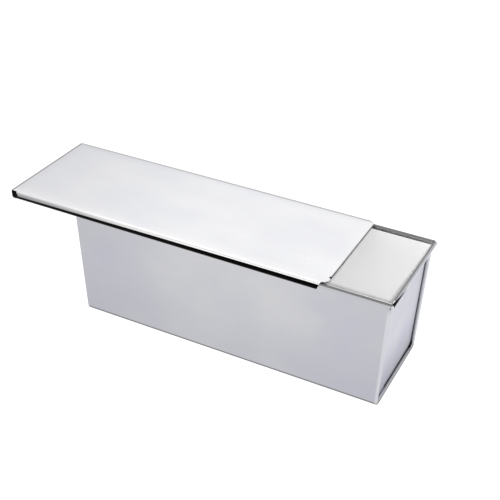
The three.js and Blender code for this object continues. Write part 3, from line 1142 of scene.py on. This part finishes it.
# %% End panels
panel_corner = bottom_bend - flange_near
flange_short = 1.15 * MM
flange_reach = hem_depth + sheet - flange_short
flange_bend = 0.5 * MM
flange_top = hem_top - seam_gap
lean_middle = 10 * MM
lean_corner = 3.2 * MM
panel_pitch = 3 * MM
lean_pitch = 0.6 * MM
panel_margin = 1.5 * MM


def panel_x(z):
    return end_x(z) - hem_depth - sheet


def panel_half(z):
    return wall_y(z) - flange_near / math.cos(slope)


def lean(y, z):
    """How far the panel has leaned out at a place, towards the rim."""
    share = min(1, abs(y) / panel_half(z))
    height = lean_middle + (lean_corner - lean_middle) * share * share
    return hem_depth * ease((z - sheet_top + height) / height)


def end_panel(side):
    bm = bmesh.new()
    foot, top = flange_near, sheet_top
    outline = [(-1, foot), (1, foot), (1, top), (-1, top)]
    corners = [bm.verts.new((side * panel_x(z), s * panel_half(z), z)) for s, z in outline]
    bm.faces.new(corners)
    bmesh.ops.bevel(
        bm,
        geom=corners[:2],
        offset=panel_corner / math.tan((QUARTER + slope) / 2),
        offset_type="OFFSET",
        segments=bend_segments,
        profile=0.5,
        affect="VERTICES",
        material=-1,
    )
    cut(bm, 2, [flange_top])
    border = rim_edges(bm, lambda p: p.z < flange_top + TINY)
    tips = verts_in(bmesh.ops.extrude_edge_only(bm, edges=border))
    bmesh.ops.translate(bm, verts=tips, vec=(side * flange_reach, 0, 0))
    folds = [edge for edge in border if edge.is_manifold]
    bmesh.ops.bevel(
        bm,
        geom=folds,
        offset=flange_bend,
        offset_type="OFFSET",
        segments=5,
        profile=0.5,
        affect="EDGES",
        material=-1,
    )
    half = panel_half(foot) - panel_margin
    cut(bm, 1, steps_between(-half, half, panel_pitch))
    cut(bm, 2, steps_between(bottom_bend, sheet_top - lean_middle, cut_pitch))
    cut(bm, 2, steps_between(sheet_top - lean_middle, sheet_top, lean_pitch))
    return bm


def shape_panel(bm, side):
    """Leans the top out, adds the waves and curls the top edge round the wire."""
    for vert in bm.verts:
        x, y, z = vert.co
        if abs(x) < panel_x(z) + TINY:
            fade = ease((panel_half(z) - abs(y)) / wave_fade) * ease((z - bottom_bend) / wave_fade)
            fade *= ease((sheet_top - lean_middle - z) / wave_fade)
            vert.co.x += side * (lean(y, z) + fade * wave(vert.co, 9 * side))
    top = rim_edges(bm, lambda p: p.z > sheet_top - TINY)
    made = bmesh.ops.extrude_edge_only(bm, edges=top)
    for vert in verts_in(made):
        vert.co.x = side * (end_x(bead_z) - sheet)
        vert.co.y *= bead_half_y / panel_half(sheet_top)
        vert.co.z = bead_z
    bmesh.ops.spin(
        bm,
        geom=verts_in(made) + [item for item in made["geom"] if isinstance(item, bmesh.types.BMEdge)],
        cent=(side * wire_x, 0, bead_z),
        axis=(0, 1, 0),
        angle=side * curl_angle,
        steps=curl_steps,
        dvec=(0, 0, 0),
    )
    mitre_beads(bm, 1)
    mark_beads(bm)
    face_front(bm, (side * panel_x(pan_height / 2), 0, pan_height / 2), (-side, 0, 0))


for side, name in ((1, "right_end_panel"), (-1, "left_end_panel")):
    panel = end_panel(side)
    shape_panel(panel, side)
    sheet_piece(
        name.replace("panel", "sheet"),
        panel,
        [inner_steel, outer_steel, bead_steel, wire_steel],
        "pan",
        name,
    )

# %% [markdown]
# One closed loop of round wire stiffens the rim. A circle is extruded along each side and spun
# through a quarter turn at each corner, and the last ring is merged with the first.

# %% Rim wire
wire_segments = 20
wire_corner_steps = 10


def rim_wire():
    bm = bmesh.new()
    corner_x = wire_x - wire_bend
    corner_y = wire_y - wire_bend
    turn = Matrix.Rotation(QUARTER, 4, "X")
    place = Matrix.Translation((wire_x, -corner_y, bead_z)) @ turn
    made = bmesh.ops.create_circle(bm, segments=wire_segments, radius=wire_radius, matrix=place)
    ring = once_each(edge for vert in made["verts"] for edge in vert.link_edges)
    runs = [
        ((0, 2 * corner_y, 0), (corner_x, corner_y)),
        ((-2 * corner_x, 0, 0), (-corner_x, corner_y)),
        ((0, -2 * corner_y, 0), (-corner_x, -corner_y)),
        ((2 * corner_x, 0, 0), (corner_x, -corner_y)),
    ]
    for run, (x, y) in runs:
        grown = bmesh.ops.extrude_edge_only(bm, edges=ring)
        bmesh.ops.translate(bm, verts=verts_in(grown), vec=run)
        ends = verts_in(grown) + [item for item in grown["geom"] if isinstance(item, bmesh.types.BMEdge)]
        spun = bmesh.ops.spin(
            bm,
            geom=ends,
            cent=(x, y, bead_z),
            axis=(0, 0, 1),
            angle=QUARTER,
            steps=wire_corner_steps,
            dvec=(0, 0, 0),
        )
        ring = [item for item in spun["geom_last"] if isinstance(item, bmesh.types.BMEdge)]
    bmesh.ops.remove_doubles(bm, verts=bm.verts[:], dist=TINY)
    bmesh.ops.recalc_face_normals(bm, faces=bm.faces[:])
    for face in bm.faces:
        face.smooth = True
    return bm


wire_mesh = rim_wire()
wire_data = bpy.data.meshes.new("bead_wire")
wire_mesh.to_mesh(wire_data)
wire_mesh.free()
wire_data.materials.append(wire_steel)
bead_wire = bpy.data.objects.new("bead_wire", wire_data)
bpy.context.scene.collection.objects.link(bead_wire)
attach(bead_wire, "pan")
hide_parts("rim_wire")
print("wire faces:", len(wire_data.polygons))

# %% [markdown]
# The lid is one sheet. Its long edges are turned down and rolled in under the beads as channels,
# and its left end is turned down as a stop. Its right end is a flat hem, and the channels end just
# before it on a slant. The outer face of the edge is drawn once as a section and carried round the
# lid from station to station.

# %% Lid sizes
lid_edge_bend = 2 * MM
lid_roll = 2.4 * MM
lid_corner = 3.2 * MM
channel_setback = 5.4 * MM
channel_right = lid_high.x - channel_setback
channel_slant = 3.5 * MM
foot_run = 1 * MM
lip_taper = 5 * MM
lip_clear = 0.8 * MM
lip_reach = lid_half - wall_y(lid_top - lid_skirt) - lip_clear
stop_turn = math.radians(30)
lid_hem_return = 5.2 * MM
plate_corner = 4 * MM
plate_half = lid_half - lid_edge_bend
plate_right = lid_high.x - lid_hem_round
fold_steps = 8
corner_steps = 12
taper_steps = 4


def edge_section(lip_share):
    """Depth and height of the lid's edge, from the plate down to its lip or stop."""
    turn = stop_turn + (QUARTER - stop_turn) * lip_share
    stop_lip = lid_roll * (1 - math.sin(stop_turn)) / math.cos(stop_turn)
    lip = stop_lip + (lip_reach - lid_roll - stop_lip) * lip_share
    points = []
    for i in range(fold_steps + 1):
        angle = QUARTER * i / fold_steps
        points.append((lid_edge_bend * (1 - math.sin(angle)), lid_edge_bend * (math.cos(angle) - 1)))
    for i in range(fold_steps + 1):
        angle = turn * i / fold_steps
        height = lid_roll - lid_skirt - lid_roll * math.sin(angle)
        points.append((lid_roll * (1 - math.cos(angle)), height))
    depth, height = points[-1]
    return points + [(depth + lip * math.sin(turn), height - lip * math.cos(turn))]


def lid_stations():
    """Places round the lid: point on the outer face, inward direction, lip share and slant."""
    corner_x = lid_low.x + lid_corner
    corner_y = lid_half - lid_corner
    straight_end = channel_right - channel_slant - foot_run
    front = [(channel_right, -lid_half, 0, 1, 1, 1), (straight_end, -lid_half, 0, 1, 1, 0)]
    for i in range(taper_steps):
        share = i / taper_steps
        front.append((corner_x + lip_taper * (1 - share), -lid_half, 0, 1, 1 - ease(share), 0))
    for i in range(corner_steps + 1):
        angle = QUARTER * i / corner_steps
        in_x, in_y = math.sin(angle), math.cos(angle)
        place = (corner_x - lid_corner * in_x, -corner_y - lid_corner * in_y)
        front.append((*place, in_x, in_y, 0, 0))
    back = [(x, -y, in_x, -in_y, lip, slant) for x, y, in_x, in_y, lip, slant in front]
    return front + back[::-1]


def station_points(x, y, in_x, in_y, lip, slant):
    points = []
    for depth, height in edge_section(lip):
        cut_back = slant * channel_slant * height / lid_skirt
        points.append(Vector((x + depth * in_x + cut_back, y + depth * in_y, lid_top + height)))
    return points


def grow(bm, chain, points):
    """Extrudes a chain of vertices and moves the new ones, in the same order, to their places."""
    edges = [bm.edges.get(pair) for pair in zip(chain, chain[1:])]
    fresh = set(verts_in(bmesh.ops.extrude_edge_only(bm, edges=edges)))
    grown = []
    for vert, point in zip(chain, points):
        tip = next(e.other_vert(vert) for e in vert.link_edges if e.other_vert(vert) in fresh)
        tip.co = point
        grown.append(tip)
    return grown


def lid_sheet():
    bm = bmesh.new()
    stations = [station_points(*station) for station in lid_stations()]
    chain = [bm.verts.new(point) for point in stations[0]]
    for pair in zip(chain, chain[1:]):
        bm.edges.new(pair)
    crest = [chain[0]]
    for points in stations[1:]:
        chain = grow(bm, chain, points)
        crest.append(chain[0])
    right = [bm.verts.new((plate_right, y, lid_top)) for y in (plate_half, -plate_half)]
    bm.faces.new(crest + right)
    bmesh.ops.bevel(
        bm,
        geom=right,
        offset=plate_corner,
        offset_type="OFFSET",
        segments=fold_steps,
        profile=0.5,
        affect="VERTICES",
        material=-1,
    )
    hem_half = plate_half - plate_corner
    cut(bm, 0, steps_between(lid_low.x + lid_corner + lip_taper, channel_right - channel_slant, cut_pitch))
    cut(bm, 1, steps_between(-hem_half, hem_half, cut_pitch))
    edge = rim_edges(bm, lambda p: p.x > plate_right - TINY and abs(p.y) < hem_half + TINY)
    spun = bmesh.ops.spin(
        bm,
        geom=edge + once_each(vert for e in edge for vert in e.verts),
        cent=(plate_right, 0, lid_top - lid_hem_round),
        axis=(0, 1, 0),
        angle=math.pi,
        steps=2 * fold_steps,
        dvec=(0, 0, 0),
    )
    tail = [item for item in spun["geom_last"] if isinstance(item, bmesh.types.BMEdge)]
    tips = verts_in(bmesh.ops.extrude_edge_only(bm, edges=tail))
    bmesh.ops.translate(bm, verts=tips, vec=(-lid_hem_return, 0, 0))
    face_front(bm, (lid_low.x / 2, 0, lid_top), (0, 0, 1))
    return bm


sag_depth = 0.3 * MM


def sag_plate(bm):
    """Lets the middle of the plate sink a little and unevenly."""
    for vert in bm.verts:
        x, y, z = vert.co
        if z > lid_top - TINY:
            inset = min(plate_half - abs(y), plate_right - x, x - lid_low.x - lid_edge_bend)
            uneven = 0.5 + 0.5 * noise.noise(vert.co / wave_length + Vector((0, 0, 3)))
            vert.co.z -= sag_depth * ease(inset / wave_fade) * uneven


lid_bm = lid_sheet()
sag_plate(lid_bm)
sheet_piece("lid_sheet", lid_bm, [lid_steel, lid_steel], "lid", "lid")

# %% [markdown]
# At the end the view layer is updated.

# %% Finish
bpy.context.view_layer.update()
